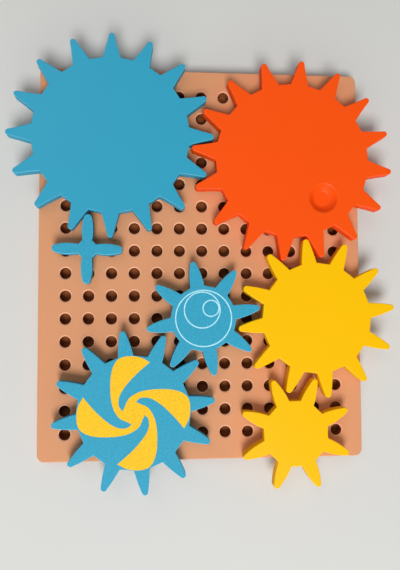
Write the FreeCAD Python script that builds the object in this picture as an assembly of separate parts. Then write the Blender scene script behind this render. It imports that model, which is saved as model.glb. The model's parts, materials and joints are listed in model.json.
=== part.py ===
import FreeCAD, Part

import math
import os
from collections import namedtuple

from FreeCAD import Rotation, Vector

# Gear puzzle board: a flat board with a square grid of blind peg holes, and
# seven toothed wheels that stand on round pegs and drive each other.
# All sizes are in millimetres. +Z is up, +X runs along the board's short side,
# and the origin is the middle of the board's underside.

# Board
HOLE_PITCH = 12.7
HOLE_COLUMNS = 13
HOLE_ROWS = 16
HOLE_RADIUS = 3.175
HOLE_DEPTH = 8.0
BOARD_FLOOR = 2.0
BOARD_MARGIN = 14.9
BOARD_CORNER = 4.0
BOARD_CHAMFER = 0.6

# There are over two hundred holes, so each is cut with eight flats that touch
# the hole's radius. The one hole that others measure is cut round.
HOLE_FLATS = 8
GAUGE_HOLE = (5, 9)

# Gear blanks
GEAR_THICKNESS = 7.5
GEAR_LIFT = 2.6
BOSS_RADIUS = 5.0
BOSS_FLATS = 12
BOSS_CLEARANCE = 0.2
BORE_ROOF = 3.0

# Teeth, in shares of the module. The module is half the hole pitch, so two
# wheels whose teeth add up to four times a whole number of holes run together.
MODULE = HOLE_PITCH / 2.0
ADDENDUM = 1.0
DEDENDUM = 1.14
TIP_HEIGHT = 0.2
FLANK_CHORDS = 3
TIP_CHORDS = 4

# Pegs
PEG_CLEARANCE = 0.05
PEG_END_PLAY = 0.1

# Fingertip dish in the large orange wheel, in line with one of its teeth. Its
# floor is flat, and its steep side is hollowed a little.
DISH_TOOTH = -3
DISH_DISTANCE = 27.6
DISH_RADIUS = 8.1
DISH_FLOOR_RADIUS = 4.4
DISH_DEPTH = 3.6
DISH_SIDE_HOLLOW = 0.3
DISH_CHORDS = 4

# Flush pinwheel in the face of one wheel. Each blade's edges run through
# (degrees, radius) stations, counted from the blade's sharp corner.
INLAY_DEPTH = 0.8
INLAY_ANGLE = 64.0
INLAY_BLADES = 4
HUB_RADIUS = 5.9
HUB_FLATS = 32
RIM_STATIONS = [(0, 28.5), (12, 30.1), (26, 30.7), (36, 29.6), (46, 25.3)]
LEADING_STATIONS = [(46, 25.3), (58, 19.6), (76, 14.4), (98, 10.9), (128, 8.1), (164, HUB_RADIUS)]
TRAILING_STATIONS = [(98, HUB_RADIUS), (82, 8.9), (58, 11.9), (32, 15.7), (12, 21.7), (0, 28.5)]
RIM_CHORDS = 5
LEADING_CHORDS = 9
TRAILING_CHORDS = 7

BOARD_TOP = BOARD_FLOOR + HOLE_DEPTH
GEAR_BOTTOM = BOARD_TOP + GEAR_LIFT
GEAR_TOP = GEAR_BOTTOM + GEAR_THICKNESS

# Half the tooth's thickness at the root, at the pitch circle and where the
# rounding of the tip starts. Wheels with more teeth have wider roots.
ToothForm = namedtuple("ToothForm", "root pitch tip")
TOOTH_FORMS = {
    4: ToothForm(0.40, 0.465, 0.31),
    8: ToothForm(0.61, 0.47, 0.25),
    12: ToothForm(0.67, 0.46, 0.26),
    16: ToothForm(0.79, 0.45, 0.25),
}

# Each wheel's peg hole is counted from the left and from the near edge. A wheel
# meshes with its driver, and has some slack: lag is how far its teeth stand
# from the middle of the driver's gaps, in shares of a tooth.
Wheel = namedtuple("Wheel", "name teeth column row driver lag")
WHEELS = [
    Wheel("large_orange", 16, 10, 12, None, 0.0),
    Wheel("large_blue", 16, 2, 13, "large_orange", -0.148),
    Wheel("plus", 4, 1, 8, "large_blue", 0.1),
    Wheel("medium_yellow", 12, 11, 5, "large_orange", -0.143),
    Wheel("ringed_blue", 8, 6, 5, "medium_yellow", -0.004),
    Wheel("pinwheel", 12, 3, 1, "ringed_blue", 0.06),
    Wheel("small_yellow", 8, 10, 0, "medium_yellow", -0.09),
]
FIRST_TOOTH_ANGLE = 16.5


def polar(radius, degrees, height=0.0):
    """Point at a radius and an angle about the Z axis."""
    angle = math.radians(degrees)
    return Vector(radius * math.cos(angle), radius * math.sin(angle), height)


def hole_centre(column, row):
    """Place of a peg hole's axis on the board, at height zero."""
    x = (column - (HOLE_COLUMNS - 1) / 2.0) * HOLE_PITCH
    y = (row - (HOLE_ROWS - 1) / 2.0) * HOLE_PITCH
    return Vector(x, y, 0)


def extruded(points, bottom, height):
    """Prism over a closed outline that lies at height zero."""
    wire = Part.makePolygon(list(points) + [points[0]])
    face = Part.Face(wire)
    face.translate(Vector(0, 0, bottom))
    return face.extrude(Vector(0, 0, height))


def flats_about(radius, sides, bottom, height):
    """Upright prism whose flat sides all touch a circle of this radius."""
    corner_radius = radius / math.cos(math.pi / sides)
    corners = [polar(corner_radius, 360.0 * i / sides) for i in range(sides)]
    return extruded(corners, bottom, height)


def chords(start, middle, end, count):
    """Points that divide the arc through three points into equal chords."""
    arc = Part.Arc(start, middle, end)
    return arc.discretize(Number=count + 1)


def first_tooth_angles():
    """Angle of each wheel's first tooth, in degrees, with every mesh in step."""
    angles = {}
    placed = {}
    for wheel in WHEELS:
        centre = hole_centre(wheel.column, wheel.row)
        if wheel.driver is None:
            angle = FIRST_TOOTH_ANGLE
        else:
            driver = placed[wheel.driver]
            line = centre - hole_centre(driver.column, driver.row)
            bearing = math.degrees(math.atan2(line.y, line.x))
            driver_teeth = (angles[driver.name] - bearing) * driver.teeth / 360.0
            own_teeth = 0.5 + wheel.lag - driver_teeth
            angle = bearing + 180.0 + own_teeth * 360.0 / wheel.teeth
        angles[wheel.name] = angle % (360.0 / wheel.teeth)
        placed[wheel.name] = wheel
    return angles


def board_blank():
    """The plain board with its rounded corners and the bevel round its top."""
    width = (HOLE_COLUMNS - 1) * HOLE_PITCH + 2 * BOARD_MARGIN
    length = (HOLE_ROWS - 1) * HOLE_PITCH + 2 * BOARD_MARGIN
    corner = Vector(-width / 2, -length / 2, 0)
    slab = Part.makeBox(width, length, BOARD_TOP, corner)
    upright = [e for e in slab.Edges if abs(e.tangentAt(0).z) > 0.5]
    slab = slab.makeFillet(BOARD_CORNER, upright)
    top_rim = [e for e in slab.Edges if e.BoundBox.ZMin > BOARD_TOP - BOARD_CHAMFER / 2]
    return slab.makeChamfer(BOARD_CHAMFER, top_rim)


def peg_board():
    """The board with its grid of blind peg holes."""
    height = HOLE_DEPTH + BOARD_CHAMFER
    flat_sided = flats_about(HOLE_RADIUS, HOLE_FLATS, BOARD_FLOOR, height)
    holes = []
    for column in range(HOLE_COLUMNS):
        for row in range(HOLE_ROWS):
            if (column, row) != GAUGE_HOLE:
                hole = flat_sided.copy()
                hole.translate(hole_centre(column, row))
                holes.append(hole)
    gauge = Part.makeCylinder(HOLE_RADIUS, height, Vector(0, 0, BOARD_FLOOR))
    gauge.translate(hole_centre(*GAUGE_HOLE))
    holes.append(gauge)
    return board_blank().cut(Part.makeCompound(holes))


def tooth_outline(teeth):
    """One tooth along +X, from the root of one flank over the tip to the other."""
    form = TOOTH_FORMS[teeth]
    pitch_radius = teeth * MODULE / 2
    root_radius = pitch_radius - DEDENDUM * MODULE
    tip_radius = pitch_radius + ADDENDUM * MODULE
    root_half = form.root * MODULE
    root_x = math.sqrt(root_radius**2 - root_half**2)
    shoulder_x = tip_radius - TIP_HEIGHT * MODULE

    root = Vector(root_x, root_half, 0)
    middle = Vector(pitch_radius, form.pitch * MODULE, 0)
    shoulder = Vector(shoulder_x, form.tip * MODULE, 0)
    apex = Vector(tip_radius, 0, 0)
    across = Vector(shoulder.x, -shoulder.y, 0)

    upper = chords(root, middle, shoulder, FLANK_CHORDS)
    lower = [Vector(p.x, -p.y, 0) for p in upper]
    tip = chords(across, apex, shoulder, TIP_CHORDS)
    return lower[:-1] + tip + upper[-2::-1]


def toothed_disc(teeth):
    """The toothed plate of a wheel, with a tooth centred on +X."""
    tooth = tooth_outline(teeth)
    outline = []
    for i in range(teeth):
        turn = Rotation(Vector(0, 0, 1), 360.0 * i / teeth)
        outline += [turn.multVec(p) for p in tooth]
    return extruded(outline, GEAR_BOTTOM, GEAR_THICKNESS)


def wheel_blank(teeth):
    """A wheel with the boss under it and the blind bore for its peg."""
    boss_bottom = BOARD_TOP + BOSS_CLEARANCE
    boss = flats_about(BOSS_RADIUS, BOSS_FLATS, boss_bottom, GEAR_BOTTOM - boss_bottom)
    bore_height = GEAR_TOP - BORE_ROOF - boss_bottom
    bore = Part.makeCylinder(HOLE_RADIUS, bore_height, Vector(0, 0, boss_bottom))
    blank = toothed_disc(teeth).fuse(boss).removeSplitter()
    return blank.cut(bore)


def finger_dish(teeth):
    """The round hollow for a fingertip, as a solid to cut away."""
    floor_middle = Vector(0, 0, -DISH_DEPTH)
    floor_edge = Vector(DISH_FLOOR_RADIUS, 0, -DISH_DEPTH)
    rim = Vector(DISH_RADIUS, 0, 0)
    above = Vector(0, 0, DISH_DEPTH)
    outwards = Vector(DISH_DEPTH, 0, DISH_FLOOR_RADIUS - DISH_RADIUS).normalize()
    half_way = (floor_edge + rim) / 2 + outwards * DISH_SIDE_HOLLOW
    side = chords(floor_edge, half_way, rim, DISH_CHORDS)
    wire = Part.makePolygon([floor_middle] + side + [rim + above, above, floor_middle])
    dish = Part.Face(wire).revolve(Vector(0, 0, 0), Vector(0, 0, 1), 360)
    dish.translate(polar(DISH_DISTANCE, DISH_TOOTH * 360.0 / teeth, GEAR_TOP))
    return dish


def spline_chords(stations, count):
    """Chords along a smooth curve through (degrees, radius) stations."""
    curve = Part.BSplineCurve()
    curve.interpolate([polar(radius, degrees) for degrees, radius in stations])
    return curve.discretize(Number=count + 1)


def pinwheel_blade():
    """Outline of one blade, from its sharp corner round to the hub and back."""
    edge = spline_chords(RIM_STATIONS, RIM_CHORDS)
    edge += spline_chords(LEADING_STATIONS, LEADING_CHORDS)[1:]
    edge += spline_chords(TRAILING_STATIONS, TRAILING_CHORDS)[:-1]
    return edge


def pinwheel_inlay():
    """The flush pinwheel: a round hub and its curved blades, one thin plate."""
    bottom = GEAR_TOP - INLAY_DEPTH
    hub = flats_about(HUB_RADIUS, HUB_FLATS, bottom, INLAY_DEPTH)
    blade = extruded(pinwheel_blade(), bottom, INLAY_DEPTH)
    blades = []
    for i in range(INLAY_BLADES):
        turned = blade.copy()
        turned.rotate(Vector(0, 0, 0), Vector(0, 0, 1), INLAY_ANGLE + 360.0 * i / INLAY_BLADES)
        blades.append(turned)
    return hub.multiFuse(blades).removeSplitter()


def gear(wheel):
    """A finished wheel about the Z axis, with its first tooth on +X."""
    blank = wheel_blank(wheel.teeth)
    if wheel.name == "large_orange":
        return blank.cut(finger_dish(wheel.teeth))
    if wheel.name == "pinwheel":
        return blank.cut(pinwheel_inlay())
    return blank


def peg():
    """Round peg from the floor of its hole to just under the roof of the bore."""
    length = GEAR_TOP - BORE_ROOF - PEG_END_PLAY - BOARD_FLOOR
    return Part.makeCylinder(HOLE_RADIUS - PEG_CLEARANCE, length, Vector(0, 0, BOARD_FLOOR))


def save(shape, node):
    """Write one piece to its own file."""
    shape.exportStep(os.path.join("parts", node + ".step"))
    print(node, "solids", len(shape.Solids), "valid", shape.isValid(), "volume", round(shape.Volume, 1))


def save_at(shape, node, wheel, angle):
    """Turn a wheel's piece to its rest angle, set it on its peg hole and write it."""
    shape.rotate(Vector(0, 0, 0), Vector(0, 0, 1), angle)
    shape.translate(hole_centre(wheel.column, wheel.row))
    save(shape, node)


def main():
    """Build every piece in its place and write it out."""
    os.makedirs("parts", exist_ok=True)
    save(peg_board(), "peg_board")
    angles = first_tooth_angles()
    for wheel in WHEELS:
        angle = angles[wheel.name]
        save_at(gear(wheel), wheel.name + "_gear", wheel, angle)
        save_at(peg(), wheel.name + "_peg", wheel, angle)
    pinwheel = next(w for w in WHEELS if w.name == "pinwheel")
    save_at(pinwheel_inlay(), "pinwheel_inlay", pinwheel, angles["pinwheel"])
    print("first teeth at", {name: round(angle, 2) for name, angle in angles.items()})


main()
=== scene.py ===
"""Looks of a gear puzzle board: a tan peg board and seven bright toothed wheels.

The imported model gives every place, angle and height. This script builds the
finely rounded pieces that are seen in its stead, dresses them, and lights them.
All lengths are in metres.
"""

from __future__ import annotations

import json
import logging
import math
from collections.abc import Iterable
from dataclasses import dataclass, field, replace
from enum import Enum
from typing import Any

import bmesh
import bpy
from mathutils import Matrix, Vector

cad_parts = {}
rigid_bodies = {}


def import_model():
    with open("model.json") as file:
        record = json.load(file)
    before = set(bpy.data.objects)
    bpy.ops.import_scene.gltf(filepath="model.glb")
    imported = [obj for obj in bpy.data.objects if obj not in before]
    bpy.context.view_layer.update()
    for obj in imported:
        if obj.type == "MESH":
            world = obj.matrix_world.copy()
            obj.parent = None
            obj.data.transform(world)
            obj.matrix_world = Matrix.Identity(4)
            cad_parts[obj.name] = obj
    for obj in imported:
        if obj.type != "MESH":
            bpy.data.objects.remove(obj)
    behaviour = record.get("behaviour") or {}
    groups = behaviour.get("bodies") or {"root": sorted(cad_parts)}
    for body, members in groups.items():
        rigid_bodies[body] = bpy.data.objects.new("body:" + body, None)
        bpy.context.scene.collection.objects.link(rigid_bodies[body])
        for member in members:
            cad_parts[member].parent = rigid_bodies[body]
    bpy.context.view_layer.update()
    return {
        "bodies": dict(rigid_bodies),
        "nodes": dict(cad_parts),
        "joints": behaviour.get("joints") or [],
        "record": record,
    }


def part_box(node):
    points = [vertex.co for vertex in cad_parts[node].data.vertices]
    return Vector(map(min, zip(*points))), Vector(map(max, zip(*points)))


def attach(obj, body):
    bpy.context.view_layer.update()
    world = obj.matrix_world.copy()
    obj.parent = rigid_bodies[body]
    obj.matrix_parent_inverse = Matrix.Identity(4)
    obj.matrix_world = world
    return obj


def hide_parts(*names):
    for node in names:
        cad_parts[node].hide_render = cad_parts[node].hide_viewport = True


LOG = logging.getLogger("gear_puzzle_board")
MILLIMETRE = 0.001
HOLE_PITCH = 12.7 * MILLIMETRE

# Points nearer than WELD are one point. A face is level where the heights of its
# corners differ by LEVEL or less.
WELD = 1e-7
LEVEL = 1e-6
SMOOTH_ANGLE = math.radians(35.0)

Point = tuple[float, float]
Colour = tuple[float, float, float]
Face = list[int]
Frame = dict[str, Any]
Socket = bpy.types.NodeSocket


def linear(colour: Colour) -> tuple[float, float, float, float]:
    """Turn a display colour into the linear colour that shaders take.

    Args:
        colour: red, green and blue from 0 to 255, as seen on a screen.

    Returns:
        The linear colour with an alpha of 1.
    """
    shares = [c / 255.0 for c in colour]
    channels = [s / 12.92 if s <= 0.04045 else ((s + 0.055) / 1.055) ** 2.4 for s in shares]
    return (channels[0], channels[1], channels[2], 1.0)


def arc_through(start: Point, middle: Point, end: Point, count: int) -> list[Point]:
    """Points along the arc through three points.

    Args:
        start: first end of the arc.
        middle: a point that the arc passes.
        end: second end of the arc.
        count: number of equal chords.

    Returns:
        count + 1 points, both ends included.
    """
    ax, ay = start
    bx, by = middle
    cx, cy = end
    twice_area = 2.0 * (ax * (by - cy) + bx * (cy - ay) + cx * (ay - by))
    a2 = ax * ax + ay * ay
    b2 = bx * bx + by * by
    c2 = cx * cx + cy * cy
    ux = (a2 * (by - cy) + b2 * (cy - ay) + c2 * (ay - by)) / twice_area
    uy = (a2 * (cx - bx) + b2 * (ax - cx) + c2 * (bx - ax)) / twice_area
    radius = math.hypot(ax - ux, ay - uy)
    first = math.atan2(ay - uy, ax - ux)
    through = (math.atan2(by - uy, bx - ux) - first) % math.tau
    sweep = (math.atan2(cy - uy, cx - ux) - first) % math.tau
    if through > sweep:
        sweep -= math.tau
    angles = [first + sweep * i / count for i in range(count + 1)]
    return [(ux + radius * math.cos(a), uy + radius * math.sin(a)) for a in angles]


def curve_through(stations: list[Point], per_span: int) -> list[Point]:
    """Points along a smooth curve through every station.

    Args:
        stations: points that the curve passes, in order.
        per_span: chords between one station and the next.

    Returns:
        The points of the curve, both ends included.
    """
    first = stations[0]
    second = stations[1]
    last = stations[-1]
    before_last = stations[-2]
    ahead = (2 * first[0] - second[0], 2 * first[1] - second[1])
    behind = (2 * last[0] - before_last[0], 2 * last[1] - before_last[1])
    knots = [ahead, *stations, behind]
    points: list[Point] = []
    for i in range(1, len(knots) - 2):
        for step in range(per_span):
            t = step / per_span
            weights = (
                (-t + 2 * t**2 - t**3) / 2,
                (2 - 5 * t**2 + 3 * t**3) / 2,
                (t + 4 * t**2 - 3 * t**3) / 2,
                (t**3 - t**2) / 2,
            )
            near = knots[i - 1 : i + 3]
            x = sum(w * p[0] for w, p in zip(weights, near))
            y = sum(w * p[1] for w, p in zip(weights, near))
            points.append((x, y))
    points.append(last)
    return points


def polar(radius: float, degrees: float) -> Point:
    """Point at a radius and an angle about the origin."""
    angle = math.radians(degrees)
    return (radius * math.cos(angle), radius * math.sin(angle))


def inset(outline: list[Point], depth: float) -> list[Point]:
    """Move each inner point of an open outline inwards, square to its edges.

    The outline runs anticlockwise about the origin. Its two ends move towards
    the origin, so that neighbouring copies still meet there.

    Args:
        outline: the points to move.
        depth: how far each edge moves.

    Returns:
        As many points as the outline has.
    """
    normals: list[Vector] = []
    for (ax, ay), (bx, by) in zip(outline, outline[1:]):
        normals.append(Vector((by - ay, ax - bx)).normalized())
    moved: list[Point] = []
    for i, (x, y) in enumerate(outline):
        if 0 < i < len(outline) - 1:
            before = normals[i - 1]
            after = normals[i]
            mitre = (before + after) / (1.0 + before.dot(after))
            moved.append((x - depth * mitre.x, y - depth * mitre.y))
        else:
            share = 1.0 - depth / math.hypot(x, y)
            moved.append((x * share, y * share))
    return moved


def add_object(name: str, mesh: bpy.types.Mesh) -> bpy.types.Object:
    """Put a mesh into the scene as an object at the origin.

    Args:
        name: name of the object.
        mesh: its mesh.

    Returns:
        The new object.
    """
    made = bpy.data.objects.new(name, mesh)
    bpy.context.scene.collection.objects.link(made)
    return made


def mesh_of(name: str, points: list[Vector], faces: list[Face]) -> bpy.types.Mesh:
    """Make a mesh.

    Args:
        name: name of the mesh.
        points: its points.
        faces: the point numbers of each face.

    Returns:
        The mesh.
    """
    mesh = bpy.data.meshes.new(name)
    mesh.from_pydata([tuple(p) for p in points], [], faces)
    mesh.update()
    return mesh


def circle(radius: float, height: float, count: int, shift: float = 0.0) -> list[Vector]:
    """Evenly spaced points on a level circle about the Z axis.

    Args:
        radius: radius of the circle.
        height: height of the circle.
        count: number of points.
        shift: how far the first point is from the X axis, in steps.

    Returns:
        The points, anticlockwise.
    """
    flat = [polar(radius, 360.0 * (i + shift) / count) for i in range(count)]
    return [Vector((x, y, height)) for x, y in flat]


def band(low: int, high: int, count: int) -> list[Face]:
    """Faces between two closed rings of points.

    Args:
        low: number of the lower ring's first point.
        high: number of the upper ring's first point.
        count: points in each ring.

    Returns:
        One face for each step round the rings.
    """
    steps = [(i, (i + 1) % count) for i in range(count)]
    return [[low + i, low + j, high + j, high + i] for i, j in steps]


def tidy(mesh: bpy.types.Mesh) -> None:
    """Weld a closed mesh, turn its faces outwards and set its shading.

    Level faces are shaded flat, so that the rounding of an edge doesn't tint
    the wide face beside it.

    Args:
        mesh: the mesh to change.
    """
    work = bmesh.new()
    work.from_mesh(mesh)
    bmesh.ops.remove_doubles(work, verts=work.verts, dist=WELD)
    bmesh.ops.dissolve_degenerate(work, edges=work.edges, dist=WELD)
    bmesh.ops.recalc_face_normals(work, faces=work.faces)
    work.to_mesh(mesh)
    work.free()
    mesh.set_sharp_from_angle(angle=SMOOTH_ANGLE)
    for face in mesh.polygons:
        heights = [mesh.vertices[i].co.z for i in face.vertices]
        face.use_smooth = max(heights) - min(heights) > LEVEL


def evaluated(carrier: bpy.types.Object, name: str) -> bpy.types.Mesh:
    """Turn an object with a modifier into a plain mesh and remove the object.

    Args:
        carrier: the object with the modifier.
        name: name of the resulting mesh.

    Returns:
        The mesh as the modifier leaves it.
    """
    bpy.context.view_layer.update()
    graph = bpy.context.evaluated_depsgraph_get()
    mesh = bpy.data.meshes.new_from_object(carrier.evaluated_get(graph))
    mesh.name = name
    bpy.data.objects.remove(carrier)
    return mesh


def prism(name: str, outline: list[Point], low: float, high: float) -> bpy.types.Object:
    """Upright prism over a closed outline.

    Args:
        name: name of the object.
        outline: the corners, anticlockwise.
        low: height of the bottom.
        high: height of the top.

    Returns:
        The closed solid.
    """
    count = len(outline)
    points = [Vector((x, y, z)) for z in (low, high) for x, y in outline]
    faces = band(0, count, count)
    faces.append(list(range(count - 1, -1, -1)))
    faces.append(list(range(count, 2 * count)))
    return add_object(name, mesh_of(name, points, faces))


def turned(name: str, profile: list[Point], segments: int) -> bpy.types.Object:
    """Solid of revolution about the Z axis.

    Args:
        name: name of the object.
        profile: (radius, height) points. The first and last lie on the axis.
        segments: number of steps round the axis.

    Returns:
        The closed solid.
    """
    points = [Vector((0, 0, profile[0][1])), Vector((0, 0, profile[-1][1]))]
    rings = profile[1:-1]
    for radius, height in rings:
        points += circle(radius, height, segments)
    last = 2 + (len(rings) - 1) * segments
    faces: list[Face] = []
    for i in range(segments):
        j = (i + 1) % segments
        faces.append([0, 2 + j, 2 + i])
        faces.append([1, last + i, last + j])
    for low in range(2, last, segments):
        faces += band(low, low + segments, segments)
    made = add_object(name, mesh_of(name, points, faces))
    tidy(made.data)
    return made


class Cut(Enum):
    """Ways in which one solid changes another."""

    AWAY = "DIFFERENCE"
    JOIN = "UNION"


def combine(base: bpy.types.Object, other: bpy.types.Object, how: Cut) -> bpy.types.Object:
    """Cut one solid from another, or join the two.

    Args:
        base: the solid that is changed. It is removed.
        other: the solid that changes it. It stays.
        how: whether to cut it away or join it.

    Returns:
        The resulting solid, with the name of the base.
    """
    name = base.name
    modifier = base.modifiers.new("combine", "BOOLEAN")
    modifier.operation = how.value
    modifier.solver = "EXACT"
    modifier.object = other
    mesh = evaluated(base, name)
    tidy(mesh)
    return add_object(name, mesh)


class Tree:
    """A node tree with short calls to add and join its nodes."""

    def __init__(self, tree: bpy.types.NodeTree) -> None:
        """Wrap a tree, which starts out empty."""
        self.tree = tree
        tree.nodes.clear()

    def add(self, kind: str, **settings: object) -> bpy.types.Node:
        """Add a node.

        Args:
            kind: type of the node.
            settings: values of the node's own properties.

        Returns:
            The new node.
        """
        node = self.tree.nodes.new(kind)
        for name, value in settings.items():
            setattr(node, name, value)
        return node

    def join(self, source: Socket, target: Socket) -> None:
        """Join an output to an input."""
        self.tree.links.new(source, target)

    def maths(self, operation: str, *values: float | Socket) -> Socket:
        """Work out one number.

        Args:
            operation: name of the operation.
            values: numbers or sockets, in the order of the node's inputs.

        Returns:
            The socket that gives the result.
        """
        node = self.add("ShaderNodeMath", operation=operation)
        for socket, value in zip(node.inputs, values):
            if isinstance(value, bpy.types.NodeSocket):
                self.join(value, socket)
            else:
                socket.default_value = value
        return node.outputs[0]


class GeometryTree(Tree):
    """A Geometry Nodes tree that ends in real geometry with a material."""

    def __init__(self, name: str, inputs: dict[str, str]) -> None:
        """Start a tree.

        Args:
            name: name of the tree.
            inputs: socket type of each named input.
        """
        super().__init__(bpy.data.node_groups.new(name, "GeometryNodeTree"))
        face = self.tree.interface
        for label, kind in {**inputs, "Material": "NodeSocketMaterial"}.items():
            face.new_socket(name=label, in_out="INPUT", socket_type=kind)
        face.new_socket(name="Geometry", in_out="OUTPUT", socket_type="NodeSocketGeometry")
        self.inputs = self.add("NodeGroupInput").outputs

    def close(self, instances: Socket) -> None:
        """Make the instances real, weld them and give them the material.

        Args:
            instances: the socket that gives the instances.
        """
        real = self.add("GeometryNodeRealizeInstances")
        self.join(instances, real.inputs["Geometry"])
        merge = self.add("GeometryNodeMergeByDistance")
        merge.inputs["Distance"].default_value = WELD
        self.join(real.outputs["Geometry"], merge.inputs["Geometry"])
        dress = self.add("GeometryNodeSetMaterial")
        self.join(merge.outputs["Geometry"], dress.inputs["Geometry"])
        self.join(self.inputs["Material"], dress.inputs["Material"])
        end = self.add("NodeGroupOutput")
        self.join(dress.outputs["Geometry"], end.inputs["Geometry"])

    def grow(self, name: str, values: dict[str, object]) -> bpy.types.Mesh:
        """Run the tree once.

        Args:
            name: name of the resulting mesh.
            values: value of each named input.

        Returns:
            The result as a plain mesh.
        """
        carrier = add_object(name, bpy.data.meshes.new(name))
        modifier = carrier.modifiers.new("grow", "NODES")
        modifier.node_group = self.tree
        for item in self.tree.interface.items_tree:
            if item.in_out == "INPUT" and item.name in values:
                modifier[item.identifier] = values[item.name]
        return evaluated(carrier, name)


def grid_tree() -> GeometryTree:
    """Tree that repeats one cell over a square grid and welds the copies.

    Returns:
        The tree. Its height input is the height of the cells' origins.
    """
    inputs = {
        "Cell": "NodeSocketObject",
        "Columns": "NodeSocketInt",
        "Rows": "NodeSocketInt",
        "Pitch": "NodeSocketFloat",
        "Height": "NodeSocketFloat",
    }
    tree = GeometryTree("Cells on a square grid", inputs)
    given = tree.inputs
    grid = tree.add("GeometryNodeMeshGrid")
    across = tree.maths("SUBTRACT", given["Columns"], 1.0)
    along = tree.maths("SUBTRACT", given["Rows"], 1.0)
    tree.join(given["Columns"], grid.inputs["Vertices X"])
    tree.join(given["Rows"], grid.inputs["Vertices Y"])
    tree.join(tree.maths("MULTIPLY", across, given["Pitch"]), grid.inputs["Size X"])
    tree.join(tree.maths("MULTIPLY", along, given["Pitch"]), grid.inputs["Size Y"])
    raised = tree.add("GeometryNodeTransform")
    offset = tree.add("ShaderNodeCombineXYZ")
    tree.join(given["Height"], offset.inputs["Z"])
    tree.join(grid.outputs["Mesh"], raised.inputs["Geometry"])
    tree.join(offset.outputs["Vector"], raised.inputs["Translation"])
    cell = tree.add("GeometryNodeObjectInfo")
    tree.join(given["Cell"], cell.inputs["Object"])
    copies = tree.add("GeometryNodeInstanceOnPoints")
    tree.join(raised.outputs["Geometry"], copies.inputs["Points"])
    tree.join(cell.outputs["Geometry"], copies.inputs["Instance"])
    tree.close(copies.outputs["Instances"])
    return tree


def ring_tree() -> GeometryTree:
    """Tree that repeats one sector about the Z axis and welds the copies.

    Returns:
        The tree. Its first angle input is in radians.
    """
    inputs = {
        "Sector": "NodeSocketObject",
        "Teeth": "NodeSocketInt",
        "First angle": "NodeSocketFloat",
    }
    tree = GeometryTree("Sectors round an axis", inputs)
    given = tree.inputs
    line = tree.add("GeometryNodeMeshLine")
    line.inputs["Offset"].default_value = (0.0, 0.0, 0.0)
    tree.join(given["Teeth"], line.inputs["Count"])
    sector = tree.add("GeometryNodeObjectInfo")
    tree.join(given["Sector"], sector.inputs["Object"])
    index = tree.add("GeometryNodeInputIndex").outputs["Index"]
    step = tree.maths("DIVIDE", math.tau, given["Teeth"])
    turn = tree.maths("ADD", tree.maths("MULTIPLY", index, step), given["First angle"])
    about = tree.add("ShaderNodeCombineXYZ")
    tree.join(turn, about.inputs["Z"])
    rotation = tree.add("FunctionNodeEulerToRotation")
    tree.join(about.outputs["Vector"], rotation.inputs["Euler"])
    copies = tree.add("GeometryNodeInstanceOnPoints")
    tree.join(line.outputs["Mesh"], copies.inputs["Points"])
    tree.join(sector.outputs["Geometry"], copies.inputs["Instance"])
    tree.join(rotation.outputs["Rotation"], copies.inputs["Rotation"])
    tree.close(copies.outputs["Instances"])
    return tree


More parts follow.
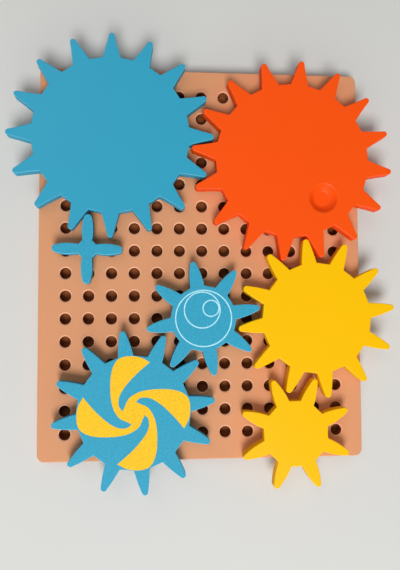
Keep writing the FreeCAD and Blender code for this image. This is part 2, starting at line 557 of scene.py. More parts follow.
@dataclass(frozen=True)
class PlasticFinish:
    """Opaque plastic in one colour, with marks of how it was made and a painted edge highlight.

    The drift is a slow change in lightness over the piece. The grain is a fine
    speckle in lightness, in gloss and in height. The layers are fine level lines
    on upright walls. The edge is a painted highlight: how much lighter a rounded
    edge is painted, and the highlight white is how much of that painted highlight
    is white. With the edge's gain and loss as they are, a face that leans by 60
    degrees counts in full as an edge, and one within 25 degrees of level or 5
    degrees of upright doesn't count.
    """

    name: str
    colour: Colour
    roughness: float
    gloss: float = 0.25
    ior: float = 1.4
    drift: float = 0.02
    drift_size: float = 45 * MILLIMETRE
    grain: float = 0.0
    grain_size: float = 0.7 * MILLIMETRE
    grain_height: float = 0.0
    grain_roughness: float = 0.12
    noise_detail: float = 2.0
    wall_roughness: float = 0.25
    layers: float = 0.0
    layer_height: float = 0.2 * MILLIMETRE
    edge: float = 0.0
    edge_gain: float = 6.0
    edge_loss: float = 0.5
    highlight_white: float = 0.4

    def build(self) -> bpy.types.Material:
        """Make the material.

        Returns:
            The material, all procedural and on object coordinates.
        """
        material = bpy.data.materials.new(self.name)
        material.use_nodes = True
        tree = Tree(material.node_tree)
        surface = tree.add("ShaderNodeBsdfPrincipled")
        surface.inputs["IOR"].default_value = self.ior
        surface.inputs["Specular IOR Level"].default_value = self.gloss
        end = tree.add("ShaderNodeOutputMaterial")
        tree.join(surface.outputs["BSDF"], end.inputs["Surface"])
        place = tree.add("ShaderNodeTexCoord").outputs["Object"]
        grain = self.noise(tree, place, self.grain_size)
        upright = tree.add("ShaderNodeSeparateXYZ")
        tree.join(tree.add("ShaderNodeNewGeometry").outputs["Normal"], upright.inputs["Vector"])
        slope = upright.outputs["Z"]

        tree.join(self.tint(tree, place, grain, slope), surface.inputs["Base Color"])
        wall = tree.maths("SUBTRACT", 1.0, tree.maths("ABSOLUTE", slope))
        least = self.roughness - self.grain_roughness / 2
        rough = tree.maths("MULTIPLY_ADD", grain, self.grain_roughness, least)
        rough = tree.maths("MULTIPLY_ADD", wall, self.wall_roughness, rough)
        tree.join(rough, surface.inputs["Roughness"])
        tree.join(self.relief(tree, place, grain, wall), surface.inputs["Normal"])
        return material

    def noise(self, tree: Tree, place: Socket, size: float) -> Socket:
        """Noise from 0 to 1.

        Args:
            tree: the material's tree.
            place: object coordinates.
            size: about how large its blots are.

        Returns:
            The socket that gives the noise.
        """
        noise = tree.add("ShaderNodeTexNoise")
        noise.inputs["Scale"].default_value = 1.0 / size
        noise.inputs["Detail"].default_value = self.noise_detail
        tree.join(place, noise.inputs["Vector"])
        return noise.outputs["Fac"]

    def tint(self, tree: Tree, place: Socket, grain: Socket, slope: Socket) -> Socket:
        """Colour with its drift, its speckle and its painted highlight on rounded edges.

        Args:
            tree: the material's tree.
            place: object coordinates.
            grain: the grain's noise.
            slope: upward share of the surface's normal.

        Returns:
            The socket that gives the colour.
        """
        drift = self.noise(tree, place, self.drift_size)
        lightness = tree.maths(
            "ADD",
            tree.maths("MULTIPLY_ADD", drift, 2 * self.drift, 1.0 - self.drift),
            tree.maths("MULTIPLY_ADD", grain, 2 * self.grain, -self.grain),
        )
        # Painted highlight: faces that lean, as rounded edges do, are made lighter and partly
        # white, standing in for light caught by the edges.
        lean = tree.maths("MULTIPLY", slope, tree.maths("SUBTRACT", 1.0, slope))
        rounding = tree.maths("MULTIPLY_ADD", lean, self.edge_gain, -self.edge_loss)
        rim = tree.maths("MULTIPLY", tree.maths("MAXIMUM", rounding, 0.0), self.edge)
        shade = tree.add("ShaderNodeVectorMath", operation="SCALE")
        shade.inputs[0].default_value = linear(self.colour)[:3]
        tree.join(tree.maths("ADD", lightness, rim), shade.inputs["Scale"])
        mix = tree.add("ShaderNodeMixRGB")
        mix.inputs["Color2"].default_value = (1.0, 1.0, 1.0, 1.0)
        tree.join(tree.maths("MULTIPLY", rim, self.highlight_white), mix.inputs["Fac"])
        tree.join(shade.outputs["Vector"], mix.inputs["Color1"])
        return mix.outputs["Color"]

    def relief(self, tree: Tree, place: Socket, grain: Socket, wall: Socket) -> Socket:
        """Normal of the grain, with the layer lines on top of it on upright walls.

        Args:
            tree: the material's tree.
            place: object coordinates.
            grain: the grain's noise.
            wall: 1 on an upright wall and 0 on a level face.

        Returns:
            The socket that gives the normal.
        """
        pimples = tree.add("ShaderNodeBump")
        pimples.inputs["Strength"].default_value = 1.0
        pimples.inputs["Distance"].default_value = self.grain_height
        tree.join(grain, pimples.inputs["Height"])

        height = tree.add("ShaderNodeSeparateXYZ")
        tree.join(place, height.inputs["Vector"])
        turns = tree.maths("MULTIPLY", height.outputs["Z"], math.tau / self.layer_height)
        wave = tree.maths("SINE", turns)
        lines = tree.add("ShaderNodeBump")
        lines.inputs["Strength"].default_value = 1.0
        lines.inputs["Distance"].default_value = self.layers
        tree.join(tree.maths("MULTIPLY", wave, wall), lines.inputs["Height"])
        tree.join(pimples.outputs["Normal"], lines.inputs["Normal"])
        return lines.outputs["Normal"]


BLUE: Colour = (54, 164, 197)
ORANGE: Colour = (255, 86, 14)
YELLOW: Colour = (255, 196, 0)
INLAY_YELLOW: Colour = (253, 199, 30)
TAN: Colour = (222, 155, 112)
# The hole colour is the board's tan darkened: painted shade for the dimness down in the holes.
PAINTED_HOLE_SHADE: Colour = (159, 93, 48)
WHITE: Colour = (186, 240, 252)
FLOOR_GREY: Colour = (216, 216, 213)

# The board's edge value paints a highlight on its rounded edges and on the chamfers round its
# holes.
BOARD_FINISH = PlasticFinish(
    "board_tan", TAN, roughness=0.6, grain=0.03, grain_height=0.01 * MILLIMETRE, edge=0.45
)
HOLE_SHADE_FINISH = PlasticFinish(
    "hole_brown", PAINTED_HOLE_SHADE, roughness=0.65, gloss=0.2, layers=0.01 * MILLIMETRE
)
# The pegs get a fainter painted highlight on their bevels.
PEG_FINISH = PlasticFinish(
    "peg_tan", TAN, roughness=0.5, grain=0.02, layers=0.012 * MILLIMETRE, edge=0.2
)
FLOOR_FINISH = PlasticFinish("floor", FLOOR_GREY, roughness=0.8, drift=0.01)

# How white the painted highlight on the rounded edges of satin plastic is, in blue and in warm
# colours.
BLUE_HIGHLIGHT_WHITE = 0.6
WARM_HIGHLIGHT_WHITE = 0.1


class Skin(Enum):
    """The two kinds of face that the wheels have."""

    SATIN = "satin"
    SPECKLED = "speckled"


def wheel_finish(name: str, colour: Colour, skin: Skin) -> PlasticFinish:
    """Finish of a wheel or of an inlay in a wheel.

    Args:
        name: name of the material.
        colour: the plastic's colour.
        skin: kind of face.

    Returns:
        The finish.
    """
    # Both skins get a painted highlight on their rounded edges, the speckled one a stronger one.
    if skin is Skin.SATIN:
        return PlasticFinish(
            name,
            colour,
            roughness=0.32,
            gloss=0.22,
            grain=0.02,
            grain_height=0.001 * MILLIMETRE,
            layers=0.01 * MILLIMETRE,
            edge=0.2,
            highlight_white=BLUE_HIGHLIGHT_WHITE if colour[2] > colour[0] else WARM_HIGHLIGHT_WHITE,
        )
    return PlasticFinish(
        name,
        colour,
        roughness=0.55,
        grain=0.32,
        grain_height=0.014 * MILLIMETRE,
        layers=0.01 * MILLIMETRE,
        edge=0.55,
    )


@dataclass
class PegBoard:
    """The board: a rounded slab with a grid of blind peg holes.

    The rounding of its top edge has one point between its ends. That point is
    set in from the side and down from the top by the edge's share of its size.
    """

    low: Vector
    high: Vector
    hole_radius: float
    hole_depth: float
    pitch: float = HOLE_PITCH
    columns: int = 13
    rows: int = 16
    corner: float = 4.0 * MILLIMETRE
    edge: float = 0.6 * MILLIMETRE
    edge_share: float = 0.3
    hole_edge: float = 0.57 * MILLIMETRE
    hole_segments: int = 24
    corner_segments: int = 8

    def cell(self) -> bpy.types.Object:
        """One square of the board's face with its hole, about the origin.

        Returns:
            The open skin of the square and its hole.
        """
        mouth = self.hole_radius + self.hole_edge
        floor = -self.hole_depth
        rings = [(mouth, 0.0), (self.hole_radius, -self.hole_edge), (self.hole_radius, floor)]
        count = self.hole_segments
        quarter = count // 4
        half = self.pitch / 2
        points = [Vector((x * half, y * half, 0)) for x, y in ((1, 1), (-1, 1), (-1, -1), (1, -1))]
        for radius, height in rings:
            points += circle(radius, height, count, shift=0.5)
        faces: list[Face] = []
        for side in range(4):
            near = side
            far = (side + 1) % 4
            start = quarter * side + quarter // 2
            rim = [4 + (start + i) % count for i in range(quarter)]
            corner_rim = [4 + (start - 1) % count] + rim
            faces.append([near, far] + corner_rim[::-1])
        last = 4 + (len(rings) - 1) * count
        for low in range(4, last, count):
            faces += band(low, low + count, count)
        faces.append([last + i for i in range(count)])
        return add_object("hole_cell", mesh_of("hole_cell", points, faces))

    def outline(self, depth: float) -> list[Point]:
        """The board's rounded outline.

        Args:
            depth: how far it is moved inwards.

        Returns:
            Its points, anticlockwise.
        """
        radius = self.corner - depth
        points: list[Point] = []
        for quarter, (sx, sy) in enumerate(((1, 1), (-1, 1), (-1, -1), (1, -1))):
            cx = sx * (self.high.x - self.corner)
            cy = sy * (self.high.y - self.corner)
            for i in range(self.corner_segments + 1):
                x, y = polar(radius, 90.0 * (quarter + i / self.corner_segments))
                points.append((cx + x, cy + y))
        return points

    def frame(self) -> bpy.types.Object:
        """All of the board outside its grid of cells.

        Returns:
            The board's skin, open over the grid.
        """
        middle = self.edge * self.edge_share
        levels = [
            (0.0, self.low.z),
            (0.0, self.high.z - self.edge),
            (middle, self.high.z - middle),
            (self.edge, self.high.z),
        ]
        count = len(self.outline(0.0))
        points = [Vector((x, y, z)) for depth, z in levels for x, y in self.outline(depth)]
        faces = [list(range(count - 1, -1, -1))]
        last = (len(levels) - 1) * count
        for low in range(0, last, count):
            faces += band(low, low + count, count)
        work = bmesh.new()
        work.from_mesh(mesh_of("board_frame", points, faces))
        work.verts.ensure_lookup_table()
        rim = [work.verts[last + i] for i in range(count)]
        inner = [work.verts.new((x, y, self.high.z)) for x, y in self.grid_border()]
        edges = [work.edges.get((rim[i], rim[(i + 1) % count])) for i in range(count)]
        edges += [work.edges.new((a, b)) for a, b in zip(inner, inner[1:] + inner[:1])]
        bmesh.ops.triangle_fill(work, edges=edges, use_beauty=True)
        mesh = bpy.data.meshes.new("board_frame")
        work.to_mesh(mesh)
        work.free()
        return add_object("board_frame", mesh)

    def grid_border(self) -> list[Point]:
        """The corners of the cells along the border of the grid.

        Returns:
            The corners in order, anticlockwise.
        """
        x = self.columns * self.pitch / 2
        y = self.rows * self.pitch / 2
        near = [(-x + i * self.pitch, -y) for i in range(self.columns)]
        right = [(x, -y + i * self.pitch) for i in range(self.rows)]
        far = [(x - i * self.pitch, y) for i in range(self.columns)]
        left = [(-x, y - i * self.pitch) for i in range(self.rows)]
        return near + right + far + left

    def in_hole(self, place: Vector) -> bool:
        """Whether a face centred here is a wall or a floor of a hole."""
        inside = abs(place.x) < self.columns * self.pitch / 2
        return inside and self.low.z < place.z < self.high.z - self.hole_edge

    def build(self) -> bpy.types.Object:
        """Build the board, dress it and let it stand for its node.

        Returns:
            The board.
        """
        material = BOARD_FINISH.build()
        cell = self.cell()
        values = {
            "Cell": cell,
            "Columns": self.columns,
            "Rows": self.rows,
            "Pitch": self.pitch,
            "Height": self.high.z,
            "Material": material,
        }
        mesh = grid_tree().grow("board_body", values)
        bpy.data.objects.remove(cell)
        frame = self.frame()
        work = bmesh.new()
        work.from_mesh(mesh)
        work.from_mesh(frame.data)
        work.to_mesh(mesh)
        work.free()
        bpy.data.objects.remove(frame)
        tidy(mesh)
        board = add_object("board_body", mesh)
        board.data.materials.clear()
        board.data.materials.append(material)
        # Walls and floors of the holes take the darker brown finish: painted shade.
        board.data.materials.append(HOLE_SHADE_FINISH.build())
        for face in board.data.polygons:
            face.material_index = int(self.in_hole(face.center))
        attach(board, "board")
        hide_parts("peg_board")
        return board


@dataclass(frozen=True)
class ToothForm:
    """Half of a tooth's thickness at three heights, in shares of the module."""

    root: float
    pitch: float
    tip: float


TOOTH_FORMS = {
    4: ToothForm(0.40, 0.465, 0.31),
    8: ToothForm(0.61, 0.47, 0.25),
    12: ToothForm(0.67, 0.46, 0.26),
    16: ToothForm(0.79, 0.45, 0.25),
}


@dataclass
class Wheel:
    """A toothed wheel with a boss and a blind bore under it.

    The addendum, the dedendum and the height of the tip's rounding are shares of
    the module. The wheel's centre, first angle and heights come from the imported
    model.
    """

    name: str
    teeth: int
    colour: Colour
    skin: Skin
    slot: str
    bore_radius: float
    module: float = HOLE_PITCH / 2
    centre: Vector = field(default_factory=Vector)
    first_angle: float = 0.0
    top: float = 0.0
    boss_low: float = 0.0
    plate: float = 7.5 * MILLIMETRE
    boss_radius: float = 5.0 * MILLIMETRE
    bore_roof: float = 3.0 * MILLIMETRE
    addendum: float = 1.0
    dedendum: float = 1.14
    tip_height: float = 0.2
    top_edge: float = 0.38 * MILLIMETRE
    bottom_edge: float = 0.14 * MILLIMETRE
    edge_steps: int = 3
    flank_chords: int = 8
    tip_chords: int = 10
    pieces: list[bpy.types.Object] = field(default_factory=list)

    @property
    def node(self) -> str:
        """Name of the wheel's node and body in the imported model."""
        return self.name + "_gear"

    def seat(self, frame: Frame) -> None:
        """Read the wheel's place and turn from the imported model.

        The point that lies farthest from the axis is the middle of a tooth's tip.

        Args:
            frame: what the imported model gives.
        """
        spin = next(j for j in frame["joints"] if j["name"] == self.name + "_spin")
        self.centre = Vector((spin["pos_m"][0], spin["pos_m"][1], 0.0))
        low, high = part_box(self.node)
        self.top = high.z
        self.boss_low = low.z
        arms = [v.co.xy - self.centre.xy for v in frame["nodes"][self.node].data.vertices]
        tip = max(arms, key=lambda arm: arm.length)
        self.first_angle = math.atan2(tip.y, tip.x) % (math.tau / self.teeth)

    def sector_outline(self) -> list[Point]:
        """Outline of one tooth with half a gap on each side, about the X axis.

        Returns:
            The points of the open outline, anticlockwise.
        """
        form = TOOTH_FORMS[self.teeth]
        pitch_radius = self.teeth * self.module / 2
        root_radius = pitch_radius - self.dedendum * self.module
        tip_radius = pitch_radius + self.addendum * self.module
        root_y = form.root * self.module
        root = (math.sqrt(root_radius**2 - root_y**2), root_y)
        middle = (pitch_radius, form.pitch * self.module)
        shoulder = (tip_radius - self.tip_height * self.module, form.tip * self.module)
        flank = arc_through(root, middle, shoulder, self.flank_chords)
        across = (shoulder[0], -shoulder[1])
        tip = arc_through(across, (tip_radius, 0.0), shoulder, self.tip_chords)
        half_gap = math.pi / self.teeth
        gap_radius = root_radius * math.cos(half_gap - math.atan2(root[1], root[0]))
        gap = (gap_radius * math.cos(half_gap), gap_radius * math.sin(half_gap))
        lower = [(x, -y) for x, y in [gap] + flank]
        return lower[:-1] + tip + flank[-2::-1] + [gap]

    def sector_rings(self) -> list[list[Vector]]:
        """Lines of points across one sector, from the top face to the bore's roof.

        Returns:
            The lines, each with as many points as the sector's outline.
        """
        outline = self.sector_outline()
        plate_low = self.top - self.plate
        rings: list[list[Vector]] = []
        for step in range(self.edge_steps + 1):
            turn = math.pi / 2 * (1.0 - step / self.edge_steps)
            depth = self.top_edge * (1.0 - math.cos(turn))
            height = self.top - self.top_edge * (1.0 - math.sin(turn))
            rings.append([Vector((x, y, height)) for x, y in inset(outline, depth)])
        for step in range(self.edge_steps + 1):
            turn = math.pi / 2 * step / self.edge_steps
            depth = self.bottom_edge * (1.0 - math.cos(turn))
            height = plate_low + self.bottom_edge * (1.0 - math.sin(turn))
            rings.append([Vector((x, y, height)) for x, y in inset(outline, depth)])
        bevel = self.bottom_edge
        core = [
            (self.boss_radius, plate_low),
            (self.boss_radius, self.boss_low + bevel),
            (self.boss_radius - bevel, self.boss_low),
            (self.bore_radius + bevel, self.boss_low),
            (self.bore_radius, self.boss_low + bevel),
            (self.bore_radius, self.top - self.bore_roof),
        ]
        for radius, height in core:
            ring: list[Vector] = []
            for x, y in outline:
                share = radius / math.hypot(x, y)
                ring.append(Vector((x * share, y * share, height)))
            rings.append(ring)
        return rings

    def sector(self) -> bpy.types.Object:
        """The skin of one tooth's share of the wheel.

        Returns:
            The skin, open at both sides.
        """
        rings = self.sector_rings()
        width = len(rings[0])
        points = [Vector((0, 0, self.top)), Vector((0, 0, self.top - self.bore_roof))]
        for ring in rings:
            points += ring
        faces: list[Face] = []
        last = 2 + (len(rings) - 1) * width
        for i in range(width - 1):
            faces.append([0, 2 + i, 2 + i + 1])
            faces.append([1, last + i + 1, last + i])
            for ring in range(len(rings) - 1):
                low = 2 + ring * width + i
                faces.append([low, low + width, low + width + 1, low + 1])
        return add_object("sector", mesh_of("sector", points, faces))

    def body(self, tree: GeometryTree, material: bpy.types.Material) -> bpy.types.Object:
        """The whole wheel about the Z axis, at its rest angle.

        Args:
            tree: the tree that repeats a sector round an axis.
            material: the wheel's material.

        Returns:
            The closed solid.
        """
        sector = self.sector()
        values = {
            "Sector": sector,
            "Teeth": self.teeth,
            "First angle": self.first_angle,
            "Material": material,
        }
        mesh = tree.grow(self.name + "_wheel", values)
        bpy.data.objects.remove(sector)
        tidy(mesh)
        return add_object(self.name + "_wheel", mesh)

    def carve(self, body: bpy.types.Object) -> bpy.types.Object:
        """Cut what this wheel has in its face. A plain wheel has nothing."""
        return body

    def place(self, piece: bpy.types.Object, material: bpy.types.Material, slot: str) -> None:
        """Move a piece from the Z axis to the wheel's peg, dress it and let it ride.

        Args:
            piece: the wheel's body or what is set in it.
            material: the piece's material.
            slot: the record's material slot for the piece; not used.
        """
        piece.data.transform(Matrix.Translation(self.centre))
        piece.data.materials.clear()
        piece.data.materials.append(material)
        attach(piece, self.node)
        self.pieces.append(piece)

    def build(self, frame: Frame, tree: GeometryTree) -> list[bpy.types.Object]:
        """Build the wheel and let it stand for its node.

        Args:
            frame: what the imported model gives.
            tree: the tree that repeats a sector round an axis.

        Returns:
            The wheel's pieces. Its body is the last.
        """
        self.seat(frame)
        material = wheel_finish(self.name, self.colour, self.skin).build()
        body = self.carve(self.body(tree, material))
        self.place(body, material, self.slot)
        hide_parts(self.node)
        return self.pieces


@dataclass
class DishedWheel(Wheel):
    """The wheel with a round dish for a fingertip, with faint rings in it.

    The dish lies in line with one tooth, counted from the first. Its side is
    hollowed a little, and its rim is rounded.
    """

    dish_tooth: int = -3
    dish_distance: float = 27.6 * MILLIMETRE
    dish_radius: float = 8.1 * MILLIMETRE
    dish_floor: float = 4.4 * MILLIMETRE
    dish_depth: float = 3.6 * MILLIMETRE
    side_hollow: float = 0.3 * MILLIMETRE
    rim_round: float = 1.5 * MILLIMETRE
    line_pitch: float = 1.1 * MILLIMETRE
    line_depth: float = 0.025 * MILLIMETRE
    side_steps: int = 10
    rim_steps: int = 5
    dish_segments: int = 96

    @property
    def dish_middle(self) -> Point:
        """Middle of the dish, seen from the wheel's axis."""
        angle = math.degrees(self.first_angle) + self.dish_tooth * 360.0 / self.teeth
        return polar(self.dish_distance, angle)

    def profile(self) -> list[Point]:
        """Half section of the dish, from the middle of its floor to its rounded rim.

        Returns:
            (radius, height) points. The wheel's face is at height zero.
        """
        points = [(0.0, -self.dish_depth)]
        lines = round(self.dish_floor / self.line_pitch)
        for line in range(1, 2 * lines):
            sway = self.line_depth if line % 2 else -self.line_depth
            points.append((self.dish_floor * line / (2 * lines), sway - self.dish_depth))
        floor_edge = Vector((self.dish_floor, -self.dish_depth))
        rim = Vector((self.dish_radius, 0.0))
        outwards = Vector((rim.y - floor_edge.y, floor_edge.x - rim.x)).normalized()
        half_way = (floor_edge + rim) / 2 + outwards * self.side_hollow
        side = arc_through(tuple(floor_edge), tuple(half_way), tuple(rim), self.side_steps)
        steepness = math.atan2(side[-1][1] - side[-2][1], side[-1][0] - side[-2][0])
        reach = self.rim_round * math.tan(steepness / 2)
        points += [point for point in side if (Vector(point) - rim).length > reach]
        for step in range(self.rim_steps + 1):
            turn = steepness * (1.0 - step / self.rim_steps)
            x = self.dish_radius + reach - self.rim_round * math.sin(turn)
            points.append((x, self.rim_round * (math.cos(turn) - 1.0)))
        return points

    def cutter(self) -> bpy.types.Object:
        """The dish as a solid that is cut away.

        Returns:
            The closed solid, in its place in the turned wheel.
        """
        profile = self.profile()
        above = self.dish_depth
        profile += [(profile[-1][0], above), (0.0, above)]
        made = turned("dish_cutter", profile, self.dish_segments)
        made.data.transform(Matrix.Translation((*self.dish_middle, self.top)))
        return made

    def carve(self, body: bpy.types.Object) -> bpy.types.Object:
        """Cut the dish into the face.

        Args:
            body: the plain wheel. It is removed.

        Returns:
            The wheel with its dish.
        """
        cutter = self.cutter()
        carved = combine(body, cutter, Cut.AWAY)
        bpy.data.objects.remove(cutter)
        return carved

    def in_dish(self, place: Vector) -> bool:
        """Whether a face is a part of the dish.

        Args:
            place: the middle of the face.

        Returns:
            True below the wheel's face and above its underside, near the middle of
            the dish.
        """
        middle = self.centre.xy + Vector(self.dish_middle)
        away = (place.xy - middle).length
        widest = self.dish_radius + self.rim_round
        floor = self.top - 2 * self.dish_depth
        return away < widest and floor < place.z < self.top - LEVEL

    def build(self, frame: Frame, tree: GeometryTree) -> list[bpy.types.Object]:
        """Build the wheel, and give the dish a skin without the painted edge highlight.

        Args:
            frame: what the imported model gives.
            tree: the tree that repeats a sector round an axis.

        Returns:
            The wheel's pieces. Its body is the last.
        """
        pieces = super().build(frame, tree)
        body = pieces[-1]
        dish_skin = replace(wheel_finish(self.name + "_dish", self.colour, self.skin), edge=0.0)
        body.data.materials.append(dish_skin.build())
        for face in body.data.polygons:
            face.material_index = int(self.in_dish(face.center))
        return pieces


@dataclass
class InlaidWheel(Wheel):
    """A wheel with a flush pattern in a second colour in its face."""

    inlay_name: str = "inlay"
    inlay_colour: Colour = WHITE
    inlay_slot: str = ""
    inlay_depth: float = 0.8 * MILLIMETRE

    def pattern(self, low: float, high: float) -> bpy.types.Object:
        """The pattern as a solid between two heights."""
        raise NotImplementedError

    def carve(self, body: bpy.types.Object) -> bpy.types.Object:
        """Cut the pocket and fill it with the inlay.

        Args:
            body: the plain wheel. It is removed.

        Returns:
            The wheel with its pocket.
        """
        low = self.top - self.inlay_depth
        cutter = self.pattern(low, self.top + self.inlay_depth)
        carved = combine(body, cutter, Cut.AWAY)
        bpy.data.objects.remove(cutter)
        inlay = self.pattern(low, self.top)
        inlay.name = self.inlay_name
        material = wheel_finish(self.inlay_name, self.inlay_colour, self.skin).build()
        self.place(inlay, material, self.inlay_slot)
        self.stand_in(inlay)
        return carved

    def stand_in(self, inlay: bpy.types.Object) -> None:
        """Let the inlay stand for its node, where it has one."""


@dataclass
class PinwheelWheel(InlaidWheel):
    """The wheel with a flush pinwheel of curved blades about a hub."""

    blades: int = 4
    corner_angle: float = 64.0
    hub_radius: float = 5.9 * MILLIMETRE
    hub_segments: int = 72
    per_span: int = 7

    def blade(self) -> list[Point]:
        """Outline of one blade, from its sharp corner round to the hub and back.

        The stations of its edges are degrees, counted from the sharp corner, and
        radii in millimetres.

        Returns:
            The points of the closed outline.
        """
        rim = [(0, 28.5), (12, 30.1), (26, 30.7), (36, 29.6), (46, 25.3)]
        leading = [(46, 25.3), (58, 19.6), (76, 14.4), (98, 10.9), (128, 8.1), (164, 5.9)]
        trailing = [(98, 5.9), (82, 8.9), (58, 11.9), (32, 15.7), (12, 21.7), (0, 28.5)]
        outline: list[Point] = []
        for edge in (rim + leading[1:], trailing):
            stations = [polar(radius * MILLIMETRE, degrees) for degrees, radius in edge]
            outline += curve_through(stations, self.per_span)
        return outline[:-1]

    def pattern(self, low: float, high: float) -> bpy.types.Object:
        """The hub and its blades as one solid.

        Args:
            low: height of its bottom.
            high: height of its top.

        Returns:
            The closed solid, about the Z axis.
        """
        count = self.hub_segments
        hub = [polar(self.hub_radius, 360.0 * i / count) for i in range(count)]
        whole = prism("pinwheel", hub, low, high)
        blade = prism("blade", self.blade(), low, high)
        start = self.first_angle + math.radians(self.corner_angle)
        blade.data.transform(Matrix.Rotation(start, 4, "Z"))
        for _ in range(self.blades):
            whole = combine(whole, blade, Cut.JOIN)
            blade.data.transform(Matrix.Rotation(math.tau / self.blades, 4, "Z"))
        bpy.data.objects.remove(blade)
        return whole

    def stand_in(self, inlay: bpy.types.Object) -> None:
        """Let the inlay stand for the pinwheel's node."""
        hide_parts("pinwheel_inlay")


@dataclass(frozen=True)
class CircleLine:
    """A circle line, which may lie inside another one.

    The bearing, in degrees, is where it comes nearest to the line round it. The
    clearance is how far apart the middles of the two lines are there.
    """

    radius: float
    bearing: float = 0.0
    clearance: float = 0.0


@dataclass
class RingedWheel(InlaidWheel):
    """The wheel with three thin circle lines, each close inside the one before."""

    line_width: float = 0.62 * MILLIMETRE
    line_segments: int = 96
    outer_line: CircleLine = CircleLine(15.4 * MILLIMETRE)
    inner_lines: tuple[CircleLine, ...] = (
        CircleLine(9.85 * MILLIMETRE, bearing=99.5, clearance=0.9 * MILLIMETRE),
        CircleLine(4.4 * MILLIMETRE, bearing=10.5, clearance=0.55 * MILLIMETRE),
    )

    def ring(self, radius: float, low: float, high: float) -> bpy.types.Object:
        """One flat ring about the Z axis.

        Args:
            radius: radius of the middle of the line.
            low: height of its bottom.
            high: height of its top.

        Returns:
            The closed solid.
        """
        inner = radius - self.line_width / 2
        outer = radius + self.line_width / 2
        corners = ((inner, low), (outer, low), (outer, high), (inner, high))
        count = self.line_segments
        points: list[Vector] = []
        faces: list[Face] = []
        for side, (corner_radius, height) in enumerate(corners):
            points += circle(corner_radius, height, count)
            faces += band(side * count, (side + 1) % 4 * count, count)
        made = add_object("circle_lines", mesh_of("circle_lines", points, faces))
        tidy(made.data)
        return made

    def pattern(self, low: float, high: float) -> bpy.types.Object:
        """All the circle lines as one solid.

        Args:
            low: height of its bottom.
            high: height of its top.

        Returns:
            The closed solid. Its outer line is about the Z axis.
        """
        outer = self.outer_line
        whole = self.ring(outer.radius, low, high)
        centre = Vector((0.0, 0.0, 0.0))
        for line in self.inner_lines:
            x, y = polar(outer.radius - line.radius - line.clearance, line.bearing)
            centre = centre + Vector((x, y, 0.0))
            ring = self.ring(line.radius, low, high)
            ring.data.transform(Matrix.Translation(centre))
            whole = combine(whole, ring, Cut.JOIN)
            bpy.data.objects.remove(ring)
            outer = line
        return whole


@dataclass
class Peg:
    """A round peg with small bevels at its ends."""

    name: str
    bevel: float = 0.5 * MILLIMETRE
    segments: int = 48

    def build(self, material: bpy.types.Material) -> bpy.types.Object:
        """Turn the peg and let it stand for its node.

        Args:
            material: the pegs' material.

        Returns:
            The peg.
        """
        node = self.name + "_peg"
        low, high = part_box(node)
        radius = (high.y - low.y) / 2
        profile = [
            (0.0, low.z),
            (radius - self.bevel, low.z),
            (radius, low.z + self.bevel),
            (radius, high.z - self.bevel),
            (radius - self.bevel, high.z),
            (0.0, high.z),
        ]
        peg = turned(self.name + "_turned_peg", profile, self.segments)
        middle = (low + high) / 2
        peg.data.transform(Matrix.Translation((middle.x, middle.y, 0.0)))
        peg.data.materials.append(material)
        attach(peg, node)
        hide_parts(node)
        return peg


@dataclass(frozen=True)
class Lamp:
    """One square lamp that points at the middle of the board."""

    name: str
    place: Vector
    size: float
    watts: float

    def hang(self) -> None:
        """Hang the lamp in its place."""
        light = bpy.data.lights.new(self.name, "AREA")
        light.size = self.size
        light.energy = self.watts
        lamp = bpy.data.objects.new(self.name, light)
        bpy.context.scene.collection.objects.link(lamp)
        lamp.location = self.place
        lamp.rotation_euler = (-self.place).to_track_quat("-Z", "Y").to_euler()


LAMPS = (
    Lamp("key", Vector((-0.09, -0.93, 1.6)), size=0.7, watts=25.0),
    Lamp("low", Vector((-0.05, -1.6, 0.7)), size=0.8, watts=5.0),
    Lamp("window", Vector((-0.53, 0.61, 1.6)), size=0.8, watts=3.0),
)


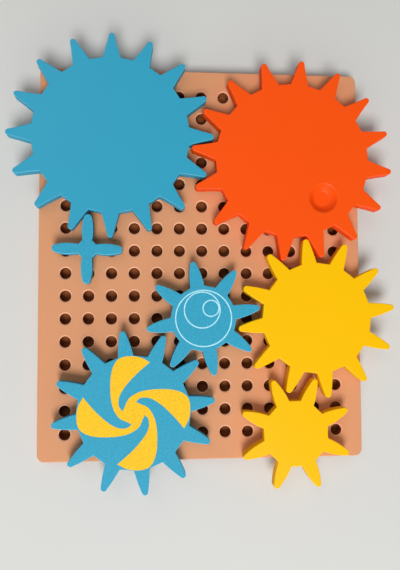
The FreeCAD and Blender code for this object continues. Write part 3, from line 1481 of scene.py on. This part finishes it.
@dataclass
class Studio:
    """The floor, the lamps and the camera.

    The view turn is the axis about which the camera is turned from looking
    straight down, as long as the turn's angle in radians.
    """

    floor_size: float = 3.0
    world_strength: float = 0.22
    backdrop_strength: float = 0.6
    view_point: Vector = field(default_factory=lambda: Vector((-0.0305, -0.0321, 0.3634)))
    view_turn: Vector = field(default_factory=lambda: Vector((0.0543, -0.0828, -0.0024)))
    focal_length: float = 39.64
    film: float = 36.0
    nearest: float = 0.01

    def floor(self) -> None:
        """Lay the pale floor."""
        half = self.floor_size / 2
        corners = ((-1, -1), (1, -1), (1, 1), (-1, 1))
        points = [Vector((x * half, y * half, 0.0)) for x, y in corners]
        floor = add_object("floor", mesh_of("floor", points, [[0, 1, 2, 3]]))
        floor.data.materials.append(FLOOR_FINISH.build())

    def world(self) -> None:
        """Light everything a little from all round, and show a pale backdrop."""
        world = bpy.data.worlds.new("studio")
        world.use_nodes = True
        tree = Tree(world.node_tree)
        background = tree.add("ShaderNodeBackground")
        background.inputs["Color"].default_value = (1.0, 1.0, 1.0, 1.0)
        seen = tree.add("ShaderNodeLightPath").outputs["Is Camera Ray"]
        added = self.backdrop_strength - self.world_strength
        strength = tree.maths("MULTIPLY_ADD", seen, added, self.world_strength)
        tree.join(strength, background.inputs["Strength"])
        end = tree.add("ShaderNodeOutputWorld")
        tree.join(background.outputs["Background"], end.inputs["Surface"])
        bpy.context.scene.world = world

    def camera(self) -> None:
        """Set up the camera almost straight above the board."""
        data = bpy.data.cameras.new("camera")
        data.lens = self.focal_length
        data.sensor_fit = "VERTICAL"
        data.sensor_height = self.film
        data.clip_start = self.nearest
        camera = bpy.data.objects.new("camera", data)
        bpy.context.scene.collection.objects.link(camera)
        turn = Matrix.Rotation(self.view_turn.length, 4, self.view_turn)
        camera.matrix_world = Matrix.Translation(self.view_point) @ turn
        bpy.context.scene.camera = camera

    def build(self) -> None:
        """Set up the whole studio."""
        bpy.context.scene.view_settings.view_transform = "Standard"
        self.floor()
        self.world()
        for lamp in LAMPS:
            lamp.hang()
        self.camera()


def wheels(bore_radius: float) -> list[Wheel]:
    """The seven wheels with their colours and faces.

    Args:
        bore_radius: radius of the bore that stands on the peg.

    Returns:
        The wheels, not built yet.
    """
    return [
        DishedWheel("large_orange", 16, ORANGE, Skin.SATIN, "smooth_orange", bore_radius),
        Wheel("large_blue", 16, BLUE, Skin.SATIN, "smooth_blue", bore_radius),
        Wheel("plus", 4, BLUE, Skin.SPECKLED, "speckled_blue", bore_radius),
        Wheel("medium_yellow", 12, YELLOW, Skin.SATIN, "smooth_yellow", bore_radius),
        RingedWheel(
            "ringed_blue",
            8,
            BLUE,
            Skin.SPECKLED,
            "speckled_blue",
            bore_radius,
            inlay_name="circle_lines",
            inlay_slot="inlay_white",
        ),
        PinwheelWheel(
            "pinwheel",
            12,
            BLUE,
            Skin.SPECKLED,
            "speckled_blue",
            bore_radius,
            inlay_name="pinwheel_blades",
            inlay_colour=INLAY_YELLOW,
            inlay_slot="inlay_yellow",
        ),
        Wheel("small_yellow", 8, YELLOW, Skin.SATIN, "smooth_yellow", bore_radius),
    ]


def report(piece: bpy.types.Object) -> None:
    """Log a finished piece."""
    LOG.info("built %s with %d faces", piece.name, len(piece.data.polygons))


def main() -> None:
    """Build the board, the pegs and the wheels, then the studio."""
    logging.basicConfig(level=logging.INFO, format="%(message)s")
    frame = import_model()
    hole = next(m for m in frame["record"]["mounts"] if m["kind"] == "bore")
    hole_radius = hole["dims"]["r_mm"] * MILLIMETRE
    hole_depth = hole["dims"]["length_mm"] * MILLIMETRE
    low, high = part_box("peg_board")
    report(PegBoard(low, high, hole_radius, hole_depth).build())
    peg_material = PEG_FINISH.build()
    tree = ring_tree()
    for wheel in wheels(hole_radius):
        for piece in wheel.build(frame, tree):
            report(piece)
        report(Peg(wheel.name).build(peg_material))
    Studio().build()


if __name__ == "__main__":
    main()
